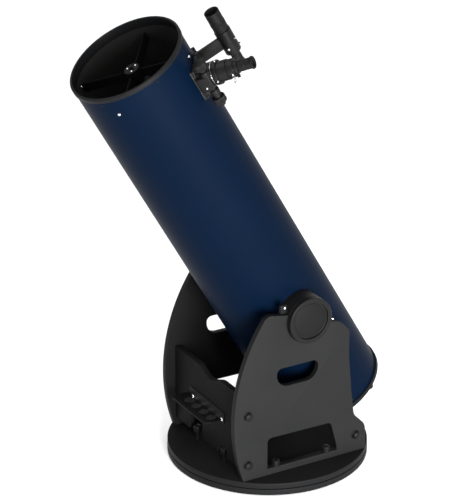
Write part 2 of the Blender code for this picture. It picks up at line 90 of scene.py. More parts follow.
# --- camera and light --------------------------------------------------------------
cam_data = bpy.data.cameras.new("camera")
cam_data.lens = 183.3
cam_data.sensor_width = 36
cam = bpy.data.objects.new("camera", cam_data)
CAMERA_AT, AIM_AT = (6.2276, -3.7455, 3.8969), (-0.0642, -0.1187, 0.6914)
cam.location = CAMERA_AT
aim = Vector(AIM_AT) - cam.location
cam.rotation_euler = aim.to_track_quat("-Z", "Y").to_euler()
cam_data.clip_end = 60
looks.objects.link(cam)
scene.camera = cam

world = bpy.data.worlds.new("studio")
scene.world = world
world.use_nodes = True
world.node_tree.nodes["Background"].inputs["Color"].default_value = (1, 1, 1, 1)
world.node_tree.nodes["Background"].inputs["Strength"].default_value = 1.0


def area(name, loc, target, size, power):
    """A rectangular light at loc, facing target."""
    data = bpy.data.lights.new(name, "AREA")
    data.shape = "RECTANGLE"
    data.size, data.size_y = size
    data.energy = power
    obj = bpy.data.objects.new(name, data)
    obj.location = loc
    obj.rotation_euler = (Vector(target) - Vector(loc)).to_track_quat("-Z", "Y").to_euler()
    looks.objects.link(obj)


area("key", (5.2, -0.9, 1.15), (0, 0, 0.6), (2.6, 2.2), 1000)
area("top", (-0.6, -1.6, 4.0), (0, 0, 0.9), (2.5, 2.5), 60)


# --- materials ----------------------------------------------------------------------
def surface(name, colour, rough, metal=0.0, grain=400.0, spread=0.12, bump=0.05,
            rough_spread=0.08, stretch=(1, 1, 1), spec=0.5):
    """A finish with fine grain: colour, roughness and relief vary with noise in place."""
    mat = bpy.data.materials.new(name)
    mat.use_nodes = True
    tree = mat.node_tree
    nodes, links = tree.nodes, tree.links
    shader = nodes["Principled BSDF"]
    shader.inputs["Metallic"].default_value = metal
    shader.inputs["Specular IOR Level"].default_value = spec
    coord = nodes.new("ShaderNodeTexCoord")
    scale = nodes.new("ShaderNodeMapping")
    scale.inputs["Scale"].default_value = stretch
    links.new(coord.outputs["Object"], scale.inputs["Vector"])
    fine = nodes.new("ShaderNodeTexNoise")
    fine.inputs["Scale"].default_value = grain
    fine.inputs["Detail"].default_value = 3.0
    links.new(scale.outputs["Vector"], fine.inputs["Vector"])
    broad = nodes.new("ShaderNodeTexNoise")
    broad.inputs["Scale"].default_value = 6.0
    broad.inputs["Detail"].default_value = 4.0
    links.new(coord.outputs["Object"], broad.inputs["Vector"])
    ramp = nodes.new("ShaderNodeValToRGB")
    ramp.color_ramp.elements[0].position = 0.3
    ramp.color_ramp.elements[1].position = 0.7
    low = [c * (1 - spread) for c in colour]
    high = [min(1, c * (1 + spread)) for c in colour]
    ramp.color_ramp.elements[0].color = (*low, 1)
    ramp.color_ramp.elements[1].color = (*high, 1)
    mix = nodes.new("ShaderNodeMath")
    mix.operation = "MULTIPLY_ADD"
    mix.inputs[1].default_value = 0.65
    links.new(fine.outputs["Fac"], mix.inputs[0])
    part = nodes.new("ShaderNodeMath")
    part.operation = "MULTIPLY"
    part.inputs[1].default_value = 0.35
    links.new(broad.outputs["Fac"], part.inputs[0])
    links.new(part.outputs[0], mix.inputs[2])
    links.new(mix.outputs[0], ramp.inputs["Fac"])
    links.new(ramp.outputs["Color"], shader.inputs["Base Color"])
    gloss = nodes.new("ShaderNodeMapRange")
    gloss.inputs["To Min"].default_value = max(0.02, rough - rough_spread)
    gloss.inputs["To Max"].default_value = min(1, rough + rough_spread)
    links.new(mix.outputs[0], gloss.inputs["Value"])
    links.new(gloss.outputs["Result"], shader.inputs["Roughness"])
    if bump:
        relief = nodes.new("ShaderNodeBump")
        relief.inputs["Strength"].default_value = bump
        relief.inputs["Distance"].default_value = 0.0004
        links.new(fine.outputs["Fac"], relief.inputs["Height"])
        links.new(relief.outputs["Normal"], shader.inputs["Normal"])
    return mat


LAMINATE = surface("laminate", (0.0093, 0.0094, 0.0096), 0.62, grain=900, spread=0.22,
                   bump=0.25, spec=0.035)
# painted shade: a darker copy of the same laminate, for boards and faces that lie in shade
SHADED = surface("laminate_painted_shade", (0.0048, 0.0048, 0.0049), 0.62, grain=900, spread=0.22,
                 bump=0.25, spec=0.03)
EDGE = surface("edge_band", (0.0052, 0.0053, 0.0056), 0.55, grain=700, spread=0.15, bump=0.15,
               spec=0.06)
NAVY = surface("tube_enamel", (0.0007, 0.0033, 0.0100), 0.42, grain=1400, spread=0.08,
               bump=0.04, spec=0.018)
INNER = surface("tube_inner_black", (0.0120, 0.0118, 0.0115), 0.8, grain=900, spread=0.2,
                bump=0.3, spec=0.05)
RING = surface("ring_metal", (0.0040, 0.0042, 0.0046), 0.45, grain=1200, spread=0.15,
               bump=0.12, spec=0.06)
PLASTIC = surface("black_plastic", (0.0045, 0.0045, 0.0046), 0.36, grain=1200, spread=0.15,
                  bump=0.08, spec=0.08)
SATIN = surface("satin_black", (0.0045, 0.0045, 0.0047), 0.45, grain=1500, spread=0.15,
                bump=0.1, spec=0.06)
ALLOY = surface("black_alloy", (0.0040, 0.0040, 0.0043), 0.36, grain=1600, spread=0.15,
                bump=0.05, spec=0.10)
# a lighter grey for the focuser base's bottom edge: partly the bare bevel, partly a painted glint
# along it
RIM = surface("bare_edge_and_glint", (0.022, 0.023, 0.021), 0.4, grain=900, spread=0.15, spec=0.2)
STEEL = surface("black_steel", (0.0040, 0.0040, 0.0040), 0.5, grain=900, spread=0.2, bump=0.12,
                spec=0.06)
RUBBER = surface("rubber", (0.0045, 0.0045, 0.0045), 0.8, grain=900, spread=0.25, bump=0.3,
                 spec=0.05)
CHROME = surface("bright_chrome", (0.80, 0.80, 0.80), 0.16, metal=1.0, grain=900, spread=0.04,
                 bump=0.02, rough_spread=0.04)
BRUSHED = surface("brushed_steel", (0.55, 0.55, 0.54), 0.3, metal=1.0, grain=500,
                  spread=0.08, stretch=(1, 1, 12), bump=0.05)
BEARING = surface("bearing_plastic", (0.55, 0.55, 0.52), 0.45, grain=600)
MIRROR = surface("mirror_coat", (0.90, 0.91, 0.93), 0.05, metal=1.0, grain=300, spread=0.01,
                 bump=0.0, rough_spread=0.02)
GLASS = surface("lens_glass", (0.004, 0.007, 0.012), 0.06, grain=300, bump=0.0,
                rough_spread=0.02, spec=0.4)
FLOOR = surface("pale_floor", (0.93, 0.93, 0.93), 0.9, grain=60, spread=0.01, bump=0.0,
                spec=0.1)


# --- helpers -------------------------------------------------------------------------
def put(name, mesh, mats, body, matrix=WORLD, replaces=(), angle=35):
    """Finish a piece: its materials, its place, its body and what it stands in for."""
    obj = bpy.data.objects.new(name, mesh)
    for mat in mats:
        mesh.materials.append(mat)
    mesh.shade_smooth()
    mesh.set_sharp_from_angle(angle=math.radians(angle))
    looks.objects.link(obj)
    obj.matrix_world = matrix
    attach(obj, body)
    if replaces:
        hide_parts(*replaces)
    return obj


def softened(profile, radius, ring):
    """Round every corner of a turned profile that isn't on the axis."""
    out = []
    count = len(profile)
    for i, point in enumerate(profile):
        here = Vector(point)
        inner = 0 < i < count - 1
        if (not ring and not inner) or here.x < 1e-6 or radius <= 0:
            out.append(tuple(here))
            continue
        before = Vector(profile[i - 1]) - here
        after = Vector(profile[(i + 1) % count]) - here
        cut = min(radius, before.length * 0.45, after.length * 0.45)
        if before.normalized().dot(after.normalized()) < -0.95:
            out.append(tuple(here))
            continue
        p, q = here + before.normalized() * cut, here + after.normalized() * cut
        for t in (0.0, 0.33, 0.67, 1.0):
            out.append(tuple(p * (1 - t) ** 2 + here * 2 * t * (1 - t) + q * t * t))
    return out


def lathe(name, profile, mats, body, matrix=WORLD, steps=64, ring=False, soft=0.5,
          ribs=None, replaces=(), pick=None, angle=35):
    """Turn (radius, height) millimetres about local Z. ribs = (count, depth, low, high,
    least radius) makes a grip. pick(radius, height, normal) gives a face's material."""
    line = softened(profile, soft, ring)
    if ribs:
        steps = ribs[0] * 4
    bm = bmesh.new()
    rows = []
    for r, z in line:
        if r < 1e-6:
            rows.append([bm.verts.new((0, 0, z * MM))])
            continue
        row = []
        for k in range(steps):
            t = 2 * math.pi * k / steps
            rr = r
            if ribs and ribs[2] <= z <= ribs[3] and r >= ribs[4]:
                rr = r - ribs[1] * (0.5 - 0.5 * math.cos(ribs[0] * t))
            row.append(bm.verts.new((rr * math.cos(t) * MM, rr * math.sin(t) * MM, z * MM)))
        rows.append(row)
    pairs = list(zip(rows, rows[1:]))
    if ring:
        pairs.append((rows[-1], rows[0]))
    for a_row, b_row in pairs:
        for k in range(steps):
            n = (k + 1) % steps
            if len(a_row) == 1 and len(b_row) == 1:
                continue
            if len(a_row) == 1:
                bm.faces.new((a_row[0], b_row[k], b_row[n]))
            elif len(b_row) == 1:
                bm.faces.new((a_row[k], b_row[0], a_row[n]))
            else:
                bm.faces.new((a_row[k], b_row[k], b_row[n], a_row[n]))
    bmesh.ops.recalc_face_normals(bm, faces=bm.faces)
    if pick:
        for face in bm.faces:
            c = face.calc_center_median() / MM
            face.material_index = pick(math.hypot(c.x, c.y), c.z, face.normal)
    mesh = bpy.data.meshes.new(name)
    bm.to_mesh(mesh)
    bm.free()
    return put(name, mesh, mats, body, matrix, replaces, angle)


def flat(name, outline, holes, thick, mats, body, matrix=WORLD, soft=1.2, replaces=()):
    """A board or plate from a flat outline with holes, its edges softened."""
    curve = bpy.data.curves.new(name + "_outline", "CURVE")
    curve.dimensions = "2D"
    curve.fill_mode = "BOTH"
    curve.extrude = thick / 2 * MM
    for loop in [outline] + list(holes):
        spline = curve.splines.new("POLY")
        spline.points.add(len(loop) - 1)
        for point, (x, y) in zip(spline.points, loop):
            point.co = (x * MM, y * MM, 0, 1)
        spline.use_cyclic_u = True
    temp = bpy.data.objects.new("outline", curve)
    looks.objects.link(temp)
    graph = bpy.context.evaluated_depsgraph_get()
    mesh = bpy.data.meshes.new_from_object(temp.evaluated_get(graph))
    bpy.data.objects.remove(temp)
    bm = bmesh.new()
    bm.from_mesh(mesh)
    bmesh.ops.remove_doubles(bm, verts=bm.verts, dist=1e-6)
    bmesh.ops.dissolve_limit(bm, angle_limit=0.01, verts=bm.verts, edges=bm.edges)
    if soft:
        rims = [e for e in bm.edges if len(e.link_faces) == 2 and e.calc_face_angle(0) > 1.2]
        bmesh.ops.bevel(bm, geom=rims, offset=soft * MM, segments=3, profile=0.5,
                        affect="EDGES", clamp_overlap=True)
    bmesh.ops.recalc_face_normals(bm, faces=bm.faces)
    for face in bm.faces:
        face.material_index = 1 if abs(face.normal.z) < 0.75 and len(mats) > 1 else 0
    bm.to_mesh(mesh)
    bm.free()
    return put(name, mesh, mats, body, matrix, replaces)


def cuboid(bm, low, high, soft=1.5, matrix=WORLD, seg=3):
    """Add a box with rounded edges to bm."""
    made = bmesh.ops.create_cube(bm, size=1.0)
    verts = made["verts"]
    for vert in verts:
        vert.co = matrix @ Vector([((v + 0.5) * b + (0.5 - v) * a) * MM
                                   for v, a, b in zip(vert.co, low, high)])
    edges = {e for v in verts for e in v.link_edges}
    if soft:
        bmesh.ops.bevel(bm, geom=list(edges), offset=soft * MM, segments=seg, profile=0.5,
                        affect="EDGES", clamp_overlap=True)


def from_bm(name, bm, mats, body, matrix=WORLD, replaces=()):
    """Make a piece from a finished bmesh."""
    bmesh.ops.recalc_face_normals(bm, faces=bm.faces)
    mesh = bpy.data.meshes.new(name)
    bm.to_mesh(mesh)
    bm.free()
    return put(name, mesh, mats, body, matrix, replaces)


def boolean(obj, cutter_mesh, cutter_matrix, operation="DIFFERENCE"):
    """Cut or join a helper mesh, and keep only the result."""
    helper = bpy.data.objects.new("helper", cutter_mesh)
    looks.objects.link(helper)
    helper.matrix_world = cutter_matrix
    mod = obj.modifiers.new("bool", "BOOLEAN")
    mod.operation = operation
    mod.solver = "EXACT"
    mod.object = helper
    bpy.context.view_layer.update()
    graph = bpy.context.evaluated_depsgraph_get()
    mesh = bpy.data.meshes.new_from_object(obj.evaluated_get(graph))
    obj.modifiers.clear()
    obj.data = mesh
    bpy.data.objects.remove(helper)
    mesh.shade_smooth()
    mesh.set_sharp_from_angle(angle=math.radians(35))


def rod_mesh(r, low, high, steps=48):
    """A plain rod about local Z, for cutting."""
    bm = bmesh.new()
    bmesh.ops.create_cone(bm, cap_ends=True, segments=steps, radius1=r * MM, radius2=r * MM,
                          depth=(high - low) * MM,
                          matrix=Matrix.Translation((0, 0, (low + high) / 2 * MM)))
    mesh = bpy.data.meshes.new("rod")
    bm.to_mesh(mesh)
    bm.free()
    return mesh


def screw_head(name, body, matrix, r=3.6, tall=2.4, mat=CHROME):
    """A small domed head about local Z, standing on the surface at its origin."""
    lathe(name, [(0, tall), (r * 0.55, tall * 0.93), (r * 0.92, tall * 0.5), (r, 0.1),
                 (r * 0.5, -0.5), (0, -0.5)], [mat], body, matrix, steps=20, soft=0.0)


def circle(x, y, r, steps=40):
    """A closed round outline."""
    return [(x + r * math.cos(2 * math.pi * i / steps), y + r * math.sin(2 * math.pi * i / steps))
            for i in range(steps)]


def arc(x, y, r, start, end, steps):
    """Points along an arc, from start to end degrees."""
    return [(x + r * math.cos(math.radians(start + (end - start) * i / steps)),
             y + r * math.sin(math.radians(start + (end - start) * i / steps)))
            for i in range(steps + 1)]


def filleted(corners, steps=8):
    """Round the corners of an outline: a corner is (x, y) or (x, y, radius)."""
    out = []
    count = len(corners)
    for i, corner in enumerate(corners):
        here = Vector(corner[:2])
        radius = corner[2] if len(corner) > 2 else 0.0
        if not radius:
            out.append(tuple(here))
            continue
        before = (Vector(corners[i - 1][:2]) - here).normalized()
        after = (Vector(corners[(i + 1) % count][:2]) - here).normalized()
        half = before.angle(after) / 2
        start = here + before * (radius / math.tan(half))
        centre = here + (before + after).normalized() * (radius / math.sin(half))
        end = here + after * (radius / math.tan(half))
        first = math.atan2(start.y - centre.y, start.x - centre.x)
        last = math.atan2(end.y - centre.y, end.x - centre.x)
        turn = (last - first + math.pi) % (2 * math.pi) - math.pi
        for k in range(steps + 1):
            t = first + turn * k / steps
            out.append((centre.x + radius * math.cos(t), centre.y + radius * math.sin(t)))
    return out


def move(x, y, z):
    return Matrix.Translation((x * MM, y * MM, z * MM))


def spin(axis, degrees):
    return Matrix.Rotation(math.radians(degrees), 4, axis)


def hoop(outer, inner, low, high):
    """The profile of a plain ring or sleeve."""
    return [(outer, high), (outer, low), (inner, low), (inner, high)]


def edge_pick(r, z, normal):
    """Faces that look sideways take the edge band's material."""
    return 1 if abs(normal.z) < 0.75 else 0


# --- base ----------------------------------------------------------------------------
G_LOW, G_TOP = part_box("ground_board")
A_LOW, A_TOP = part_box("azimuth_board")
AZ_TOP = A_TOP.z / MM
# the round boards take the laminate's painted-shade copy, their tops darker for the shade on them
lathe("ground_board_look", hoop(320, 6.5, G_LOW.z / MM, G_TOP.z / MM), [SHADED, EDGE],
      "ground", steps=144, ring=True, soft=1.6, pick=edge_pick, replaces=["ground_board"])
lathe("azimuth_board_look", hoop(319.4, 6.5, A_LOW.z / MM, AZ_TOP), [SHADED, EDGE],
      "rocker", steps=144, ring=True, soft=1.6, pick=edge_pick, replaces=["azimuth_board"])
for i in range(3):
    low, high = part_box("foot_%d" % (i + 1))
    mid = (low + high) / 2 / MM
    lathe("foot_%d_look" % (i + 1), [(0, high.z / MM), (26, high.z / MM), (28, high.z / MM - 1.5),
                                     (27, 0), (10, 0), (8, 1.2), (0, 1.2)],
          [RUBBER], "ground", move(mid.x, mid.y, 0), steps=48,
          replaces=["foot_%d" % (i + 1)])
lathe("azimuth_knob_look", [(24, AZ_TOP + 16), (26, AZ_TOP + 14), (26, AZ_TOP + 6),
                            (22, AZ_TOP + 3), (22, AZ_TOP + 0.6), (6.4, AZ_TOP + 0.6),
                            (6.4, AZ_TOP + 16)], [PLASTIC], "azimuth_nut", ring=True,
      ribs=(10, 3.0, AZ_TOP + 5, AZ_TOP + 15, 22), replaces=["azimuth_knob"])

# --- side boards -----------------------------------------------------------------------
SIDE_BOLTS = [(-206.8, 270.4), (-206.1, 100.7), (188.1, 104.4)]      # (y, z)
FLOOR_BOLT_Y = (-99.0, 85.0)
POST_X, POST_Y = 85, -208.5
SHOULDER_Z = 558.0


def side_outline():
    """A side board in (y, z): a long arc in front, the cradle on top, a heel behind."""
    cy, cz, r = SIDE_ARC
    low = math.degrees(math.asin((AZ_TOP + 0.3 - cz) / r))
    high = math.degrees(math.asin((SHOULDER_Z - cz) / r))
    front = arc(cy, cz, r, 180 - low, 180 - high, 60)
    cradle = arc(PY, PZ, CRADLE_R, 159, 340, 60)
    shoulder = filleted([front[-1], (-139.4, 592.8, 26), (-84, 582)])[1:]
    back = filleted([cradle[-1], (100, 517.5), (134, 503.5, 8), (158, 477, 16), (158, 386, 60),
                     (170, 259), (180, 178, 40), (222, 134, 40), (226, 96, 12),
                     (226, AZ_TOP + 0.3)])[1:]
    return front + shoulder + cradle + back


HANDLE = filleted([(-103, 404, 18), (-103, 340, 42), (45, 340, 42), (45, 404, 18)], 12)
BAY = filleted([(-135, RAIL_TOP, 2), (-135, 174, 15), (95, 171, 15), (117, 89, 12),
                (120, RAIL_TOP, 2)])
for side, sign in (("right", 1), ("left", -1)):
    # the left board takes the laminate's painted-shade copy for the shade on it; the right board
    # takes the plain laminate
    flat("side_board_%s_look" % side, side_outline(), [HANDLE, BAY], BOARD_T,
         [LAMINATE if sign > 0 else SHADED, EDGE],
         "rocker", move(sign * SIDE_MID, 0, 0) @ UP_X, soft=1.3,
         replaces=["side_board_" + side])
    flat("cradle_liner_%s_look" % side,
         arc(PY, PZ, CRADLE_R - 0.3, 166, 336, 50) + arc(PY, PZ, LINER_R, 336, 166, 50), [],
         BOARD_T - 1, [SATIN], "rocker", move(sign * SIDE_MID, 0, 0) @ UP_X, soft=0.2,
         replaces=["cradle_liner_" + side])
    for i, (y, z) in enumerate(SIDE_BOLTS):
        lathe("side_bolt_%s_%d_look" % (side, i + 1),
              [(0, 15), (4, 14.8), (8.8, 13.8), (12.3, 11), (13.2, 8), (13.2, 3), (14.7, 2.6),
               (14.7, 0.3), (0, 0.3)], [PLASTIC], "rocker",
              move(sign * SIDE_OUT, y, z) @ spin("Y", 90 * sign), steps=40, soft=0.8,
              replaces=["side_bolt_%s_%d" % (side, i + 1)])
    for i, y in enumerate(FLOOR_BOLT_Y):
        lathe("floor_bolt_%s_%d_look" % (side, i + 1),
              [(0, 21), (5, 20.7), (9.5, 19), (12.5, 15), (12.5, 3), (14, 2.6), (14, 0.3),
               (0, 0.3)], [PLASTIC], "rocker", move(sign * SIDE_MID, y, RAIL_TOP), steps=36,
              soft=0.8, replaces=["floor_bolt_%s_%d" % (side, i + 1)])
    lathe("front_post_%s_look" % side,
          [(0, 54), (6, 53.6), (10, 52), (12, 49), (12, 32), (5, 31.5), (5, 0.3), (0, 0.3)],
          [PLASTIC], "rocker", move(sign * POST_X, POST_Y, AZ_TOP), steps=36, soft=0.8,
          replaces=["front_post_" + side])
    bm = bmesh.new()
    cuboid(bm, (-6, -12, 0), (6, 12, 29), 3.0)
    from_bm("cradle_stop_%s_look" % side, bm, [SATIN], "rocker",
            move(sign * 216, -77, 583.6), replaces=["cradle_stop_" + side])
    lathe("cradle_stop_screw_%s" % side,
          [(0, 3.0), (2.6, 2.8), (4.4, 1.4), (4.6, 0), (1.5, -0.6), (0, -0.6)], [CHROME],
          "rocker", move(sign * 222, -74, 603) @ spin("Y", 90 * sign), steps=24, soft=0.2)

screw_head("cradle_end_screw", "rocker", move(SIDE_OUT, 95.6, 529.3) @ spin("Y", 90), 2.6, 1.6)

# --- front board and eyepiece rack -------------------------------------------------------
FRONT_HALF, FRONT_LOW, FRONT_HIGH, FRONT_MID = 208.1, 78, 331, -209.5
DIP = [(93 - 160 * i / 40, 309 + 22 * math.sin(math.pi * (i / 40 - 0.5)) ** 2)
       for i in range(41)]
FRONT_OUTLINE = ([(-FRONT_HALF, FRONT_LOW)]
                 + filleted([(-118, FRONT_LOW), (-118, 156, 6), (-34, 156, 6),
                             (-34, FRONT_LOW)])
                 + [(70, FRONT_LOW), (70, 104), (120, 104), (120, FRONT_LOW),
                    (FRONT_HALF, FRONT_LOW), (FRONT_HALF, FRONT_HIGH)]
                 + DIP + [(-FRONT_HALF, FRONT_HIGH)])
# the front board takes the laminate's painted-shade copy, for the shade on its front face
flat("front_board_look", FRONT_OUTLINE, [], BOARD_T, [SHADED, EDGE], "rocker",
     move(0, FRONT_MID, 0) @ UP_Y, soft=1.3, replaces=["front_board"])
RACK_LEFT, RACK_RIGHT, RACK_FRONT = -134.0, 86.0, -277.0
RACK_Z, FACE = 197.0, -219.3
RACK_HOLE_Y, RACK_HOLE_R = -240, 16.2
rack_holes = [circle(x, RACK_HOLE_Y, RACK_HOLE_R) for x in (-82, -36, 10, 56)]
flat("eyepiece_rack_look",
     filleted([(RACK_LEFT, RACK_FRONT, 16), (RACK_RIGHT, RACK_FRONT, 24),
               (RACK_RIGHT, FACE - 0.4), (RACK_LEFT, FACE - 0.4)]),
     rack_holes, 3.0, [STEEL], "rocker", move(0, 0, RACK_Z), soft=0.5,
     replaces=["eyepiece_rack"])
flat("eyepiece_rack_back",
     filleted([(RACK_LEFT + 22, RACK_Z - 1), (RACK_RIGHT + 22, RACK_Z - 1),
               (RACK_RIGHT + 22, RACK_Z + 36, 8), (RACK_LEFT + 22, RACK_Z + 36, 8)]),
     [], 2.7, [STEEL], "rocker", move(0, FACE - 1.35, 0) @ UP_Y, soft=0.5)
for i, x in enumerate((-86, 96)):
    lathe("rack_screw_%d_look" % (i + 1),
          [(0, 7), (4, 6.4), (6, 4.8), (6.2, 3.3), (0, 3.3)], [CHROME], "rocker",
          move(x, -219, RACK_Z + 8.5) @ spin("X", 90), steps=28, soft=0.4,
          replaces=["rack_screw_%d" % (i + 1)])

# --- tube ----------------------------------------------------------------------------------
tube = lathe("main_tube_look", hoop(TUBE_R, TUBE_IN, TUBE_REAR, TUBE_FRONT), [NAVY, INNER],
             "tube", TUBE, steps=192, ring=True, soft=0.0, replaces=["main_tube"],
             pick=lambda r, z, n: 0 if r > TUBE_R - 0.5 else 1)
boolean(tube, rod_mesh(33, 150, 200), FOCUS)      # the drawtube's hole


def end_ring(name, end, way, depth, outer, node):
    """The rolled ring round an end of the tube: it wraps the wall, with a lip inside."""
    over, inner = TUBE_R + 0.3, TUBE_IN - 0.3
    wrap = end - way * 14
    shape = [(outer - 1.6, end), (outer, end - way * 1.6), (outer, wrap), (over, wrap),
             (over, end - way * 2.7), (inner, end - way * 2.7), (inner, end - way * depth),
             (inner - 2.5, end - way * depth), (inner - 2.5, end)]
    lathe(name, shape, [RING], "tube", TUBE, steps=192, ring=True, soft=0.7,
          replaces=[node])


end_ring("front_ring_look", 995.1, 1, 30.6, 180.8, "front_ring")
end_ring("rear_ring_look", -427, -1, 16, 182.8, "rear_ring")

for i in range(6):
    for end, s in (("front", 972.0), ("rear", -405.0)):
        screw_head("%s_ring_screw_%d" % (end, i + 1), "tube",
                   TUBE @ spin("Z", 60 * i) @ move(TUBE_R + 0.1, 0, s) @ spin("Y", 90), 3.4, 2.0,
                   SATIN)
for i, angle in enumerate((49.5, 131, 229, 312)):
    screw_head("spider_screw_%d" % (i + 1), "tube",
               TUBE @ spin("Z", angle) @ move(TUBE_R + 0.1, 0, 931) @ spin("Y", 90), 4.6, 3.2)

# --- optics -----------------------------------------------------------------------------
MIRROR_R, MIRROR_BACK, MIRROR_T, MIRROR_SAG = 152.5, -378.0, 45.0, 3.8
face = [(MIRROR_R * t / 10, MIRROR_BACK + MIRROR_T - MIRROR_SAG * (1 - (t / 10) ** 2))
        for t in range(11)]
lathe("primary_mirror_look", face + [(MIRROR_R, MIRROR_BACK), (0, MIRROR_BACK)],
      [MIRROR, GLASS], "mirror", TUBE, steps=120, soft=0.8, replaces=["primary_mirror"],
      pick=lambda r, z, n: 0 if n.z > 0.9 else 1)

HUB_TOP, COLLIMATOR_R = 952, 161
bm = bmesh.new()
for i in range(4):
    cuboid(bm, (20, -0.8, 913.5), (175.2, 0.8, 943.5), 0.3, spin("Z", 45 + 90 * i), 1)
from_bm("spider_vanes_look", bm, [SATIN], "tube", TUBE)
lathe("spider_hub_look", hoop(24, 4.4, 912, HUB_TOP), [SATIN], "tube", TUBE, steps=64, ring=True,
      soft=1.2, replaces=["spider"])
for i in range(4):
    screw_head("vane_screw_%d" % (i + 1), "tube",
               TUBE @ spin("Z", 45 + 90 * i) @ move(175.8, 3.5, 937) @ spin("Y", -90), 3.0, 2.4)
for i in range(3):
    t = math.radians(90 + 120 * i)
    screw_head("hub_screw_%d" % (i + 1), "tube",
               TUBE @ move(15 * math.cos(t), 15 * math.sin(t), HUB_TOP), 3.4, 2.4, BRUSHED)
screw_head("hub_bolt", "tube", TUBE @ move(0, 0, HUB_TOP + 6), 6.0, 3.0, SATIN)
for name, mat in (("secondary_mirror", MIRROR), ("secondary_holder", SATIN),
                  ("mirror_cell", ALLOY), ("azimuth_bolt", BRUSHED),
                  ("azimuth_bearing", BEARING), ("finder_shoe", ALLOY)):
    node = frame["nodes"][name]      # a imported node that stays, with a new finish
    node.data.materials.clear()
    node.data.materials.append(mat)
for i in range(3):
    t = math.radians(30 + 120 * i)
    lathe("collimation_knob_%d_look" % (i + 1),
          [(0, -381), (3.8, -381), (3.8, -428), (10, -428), (11.5, -430), (11.5, -444), (9, -447),
           (0, -447)], [PLASTIC], "collimator_%d" % (i + 1),
          TUBE @ move(COLLIMATOR_R * math.cos(t), COLLIMATOR_R * math.sin(t), 0),
          ribs=(12, 0.9, -444.5, -429.5, 11), replaces=["collimation_knob_%d" % (i + 1)])

# --- altitude bearings ----------------------------------------------------------------------
for side, sign in (("right", 1), ("left", -1)):
    facing = TUBE @ spin("Y", 90 * sign)
    drum = lathe("altitude_bearing_%s_look" % side,
                 [(0, DRUM_END), (DRUM_R - 2.6, DRUM_END), (DRUM_R, DRUM_END - 1.4),
                  (DRUM_R, 130), (0, 130)], [PLASTIC],
                 "tube", facing, steps=128, soft=0.8,
                 replaces=["altitude_bearing_" + side])
    boolean(drum, rod_mesh(SADDLE_R, -200, 200, 192), TUBE)
    lathe("altitude_knob_%s_look" % side,
          [(0, KNOB_END - 8), (59.5, KNOB_END - 8), (60.7, KNOB_END - 6.8),
           (60.7, KNOB_END - 1), (61.7, KNOB_END), (DRUM_R - 2, KNOB_END),
           (DRUM_R, KNOB_END - 2), (DRUM_R, KNOB_START), (0, KNOB_START)], [PLASTIC],
          "altitude_hand_" + side, facing, steps=128, soft=0.7,
          replaces=["altitude_knob_" + side])
    lathe("altitude_knob_%s_plate" % side,
          [(0, KNOB_END - 6.6), (52, KNOB_END - 6.6), (54, KNOB_END - 7.2),
           (54, KNOB_END - 8.4), (0, KNOB_END - 8.4)], [SATIN],
          "altitude_hand_" + side, facing, steps=96, soft=0.5)

# --- focuser -------------------------------------------------------------------------------
BASE_TOP = 186
SHAFT = FOCUS @ move(0, FOCUS_SIDE, SHAFT_H) @ spin("Y", 90)
bm = bmesh.new()
cuboid(bm, (-57, -38, 168), (49, 38, BASE_TOP), 3.0)
base = from_bm("focuser_base_look", bm, [ALLOY], "tube", FOCUS, replaces=["focuser_base"])
boolean(base, rod_mesh(SADDLE_R, -200, 960, 192), TUBE)
boolean(base, rod_mesh(DRAW_BORE, 140, 260, 96), FOCUS)
lathe("focuser_neck", [(34.5, 226), (36, 224.5), (36, 202), (43, 187), (43, 184),
                       (DRAW_BORE, 184), (DRAW_BORE, 226)], [ALLOY], "tube", FOCUS,
      steps=96, ring=True, soft=0.8)
bm = bmesh.new()
cuboid(bm, (-26, 20, 182), (26, 49.5, 225.7), 3.5)
housing = from_bm("pinion_housing", bm, [ALLOY], "tube", FOCUS)
boolean(housing, rod_mesh(34.0, 140, 260, 96), FOCUS)
boolean(housing, rod_mesh(4.4, -60, 60, 32), SHAFT)
# a lighter strip along the base's bottom edge: bare bevel with a painted glint
bm = bmesh.new()
cuboid(bm, (-56.5, 37.4, 173.8), (48.5, 38.5, 177.0), 0.4)
from_bm("focuser_base_rim", bm, [RIM], "tube", FOCUS)
for i, (x, y) in enumerate(((-49, -30), (41, -30), (-49, 30), (41, 30))):
    screw_head("focuser_base_screw_%d" % (i + 1), "tube", FOCUS @ move(x, y, BASE_TOP), 3.4, 2.4,
               SATIN)
lathe("focuser_collar_look", hoop(37, DRAW_BORE, 229, 243), [ALLOY], "tube", FOCUS, ring=True,
      soft=0.8, ribs=(36, 1.0, 231, 241, 36), replaces=["focuser_collar"])
lathe("focuser_bright_ring", hoop(36.2, DRAW_BORE, 226.6, 228.0), [BRUSHED], "tube", FOCUS,
      steps=96, ring=True, soft=0.4)
lathe("focuser_drawtube_look", hoop(DRAW_R, 25.9, 168, 272), [ALLOY, INNER], "drawtube", FOCUS,
      steps=96, ring=True, soft=0.5, replaces=["focuser_drawtube"],
      pick=lambda r, z, n: 0 if r > 28 else 1)
lathe("eyepiece_holder_look", hoop(28.5, 25.7, 272.3, 293), [ALLOY], "drawtube", FOCUS,
      steps=96, ring=True, soft=0.8, replaces=["eyepiece_holder"])
lathe("eyepiece_adapter_look", [(19.5, 303), (20.5, 302), (20.5, 293.3), (25.2, 293.3),
                                (25.2, 276), (16.3, 276), (16.3, 303)], [ALLOY], "adapter",
      FOCUS, steps=80, ring=True, soft=0.5, replaces=["eyepiece_adapter"])
lathe("eyepiece_look", [(0, 341), (11, 341), (11, 344), (16, 344), (17, 343), (17, 330),
                        (16.4, 329), (16.4, 326), (17, 325), (17, 305), (16, 303.4),
                        (15.8, 303.4), (15.8, 276), (13.5, 276), (13.5, 288), (0, 288)],
      [SATIN, GLASS], "ocular", FOCUS, steps=72, soft=0.4, replaces=["eyepiece"],
      pick=lambda r, z, n: 1 if r < 10.5 and z > 335 else 0)
